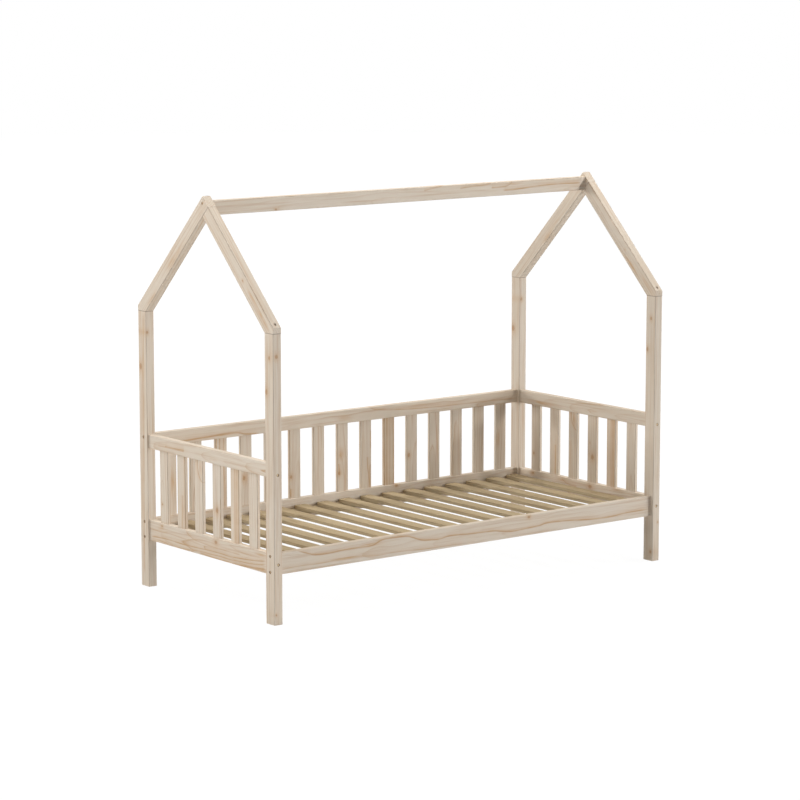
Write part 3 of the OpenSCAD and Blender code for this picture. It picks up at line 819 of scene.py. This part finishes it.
class BED_OT_studio(bpy.types.Operator):
    """Makes the floor, the room light, the lamps and the camera"""
    bl_idname = "bed.studio"
    bl_label = "Studio"

    def execute(self, context):
        studio = context.scene.bed_studio
        self.floor(context)
        self.room(context, studio)
        for name, softbox in SOFTBOXES.items():
            self.lamp(context, name, studio.lamps, *softbox)
        self.camera(context, studio)
        context.scene.view_settings.view_transform = "Standard"
        return {"FINISHED"}

    def lamp(self, context, name, strength, heading, height, distance, size, power, tint):
        """A square softbox that faces the middle of the bed."""
        heading, height = math.radians(heading), math.radians(height)
        away = Vector((math.cos(height) * math.cos(heading),
                       math.cos(height) * math.sin(heading), math.sin(height)))
        light = bpy.data.lights.new(name, "AREA")
        light.energy, light.size, light.color = power * strength, size, tint
        holder = bpy.data.objects.new(name, light)
        holder.location = AIM + distance * away
        holder.rotation_mode = "QUATERNION"
        holder.rotation_quaternion = (-away).to_track_quat("-Z", "Y")
        context.scene.collection.objects.link(holder)

    def camera(self, context, studio):
        camera = bpy.data.cameras.new("camera")
        camera.lens = studio.lens
        camera.sensor_width = 36.0
        camera.clip_end = 100.0
        holder = bpy.data.objects.new("camera", camera)
        holder.location = studio.camera
        holder.rotation_euler = (math.radians(90) - studio.dip, 0.0, -studio.turn)
        context.scene.collection.objects.link(holder)
        context.scene.camera = holder

    def seen(self, s):
        """1 for rays of the camera, of mirrors and through glass."""
        path = s.node("ShaderNodeLightPath").outputs
        mirrored = s.math("MAXIMUM", path["Is Glossy Ray"], path["Is Transmission Ray"])
        return s.math("MAXIMUM", path["Is Camera Ray"], mirrored)

    def floor(self, context):
        """A round floor at z = 0, its rings closer together towards the middle."""
        rings, spokes, reach = 24, 96, 30.0
        radius = reach * np.linspace(0, 1, rings + 1)[1:, None] ** 2
        angle = np.linspace(0, 2 * np.pi, spokes, endpoint=False)[None, :]
        flat = [radius * np.cos(angle), radius * np.sin(angle), np.zeros((rings, spokes))]
        points = np.concatenate([np.zeros((1, 3)), np.stack(flat, -1).reshape(-1, 3)])
        row, column = np.meshgrid(np.arange(rings - 1), np.arange(spokes), indexing="ij")
        following = (column + 1) % spokes
        corners = [row * spokes + column, (row + 1) * spokes + column,
                   (row + 1) * spokes + following, row * spokes + following]
        quads = 1 + np.stack(corners, -1).reshape(-1, 4)
        fan = [(0, 1 + c, 1 + (c + 1) % spokes) for c in range(spokes)]
        mesh = bpy.data.meshes.new("floor")
        mesh.from_pydata(points.tolist(), [], fan + quads.tolist())
        floor = bpy.data.objects.new("floor", mesh)
        context.scene.collection.objects.link(floor)
        mesh.materials.append(self.floor_material())

    def floor_material(self):
        """Matt for the light. What the camera sees glows, and keeps a faint shadow of the bed."""
        material, s = empty_material("floor")
        near, far, glow_near, glow_far = 1.5, 7.0, 0.965, 1.0
        matt = s.node("ShaderNodeBsdfDiffuse", {"Color": (0.8, 0.8, 0.8, 1.0)})
        faint = s.node("ShaderNodeBsdfDiffuse", {"Color": (0.06, 0.06, 0.06, 1.0)})
        away = s.vector("LENGTH", s.node("ShaderNodeTexCoord").outputs["Object"])
        glow = s.node("ShaderNodeEmission", {
            "Color": (1, 1, 1, 1), "Strength": s.smooth(away, near, far, glow_near, glow_far)})
        both = s.node("ShaderNodeAddShader", {0: faint.outputs[0], 1: glow.outputs[0]})
        pick = s.node("ShaderNodeMixShader", {
            0: self.seen(s), 1: matt.outputs[0], 2: both.outputs[0]})
        s.node("ShaderNodeOutputMaterial", {"Surface": pick.outputs[0]})
        return material

    def room(self, context, studio):
        """Even light all round. What the camera and mirrors see of it is plain white."""
        world = bpy.data.worlds.new("room")
        context.scene.world = world
        world.use_nodes = True
        world.node_tree.nodes.clear()
        s = Shader(world.node_tree)
        soft = s.node("ShaderNodeBackground", {"Color": (1, 1, 1, 1), "Strength": studio.room})
        white = s.node("ShaderNodeBackground", {"Color": (1, 1, 1, 1), "Strength": 1.0})
        pick = s.node("ShaderNodeMixShader", {
            0: self.seen(s), 1: soft.outputs[0], 2: white.outputs[0]})
        s.node("ShaderNodeOutputWorld", {"Surface": pick.outputs[0]})


STEPS = (BED_OT_posts, BED_OT_gables, BED_OT_rails, BED_OT_guard_slats, BED_OT_base,
         BED_OT_fasteners, BED_OT_studio)
GROUPS = (("bed_pine", BedPine), ("bed_base", BedBase), ("bed_hardware", BedHardware),
          ("bed_studio", BedStudio))


class BED_PT_panel(bpy.types.Panel):
    """Colours, studio and steps of the bed"""
    bl_idname = "BED_PT_panel"
    bl_label = "House-frame bed"
    bl_space_type = "VIEW_3D"
    bl_region_type = "UI"
    bl_category = "Bed"

    def draw(self, context):
        for key, group in GROUPS:
            box = self.layout.box()
            box.label(text=group.__doc__)
            for name in group.__annotations__:
                box.prop(getattr(context.scene, key), name)
        for step in STEPS:
            self.layout.operator(step.bl_idname)


def register():
    for key, group in GROUPS:
        bpy.utils.register_class(group)
        setattr(bpy.types.Scene, key, PointerProperty(type=group))
    for step in (*STEPS, BED_PT_panel):
        bpy.utils.register_class(step)


def unregister():
    for step in reversed((*STEPS, BED_PT_panel)):
        bpy.utils.unregister_class(step)
    for key, group in reversed(GROUPS):
        delattr(bpy.types.Scene, key)
        bpy.utils.unregister_class(group)


def main():
    register()
    for make in (knot_group, streak_group, line_group, ring_group):
        make()
    for step in STEPS:
        section, name = step.bl_idname.split(".")
        getattr(getattr(bpy.ops, section), name)()


if __name__ == "__main__":
    main()
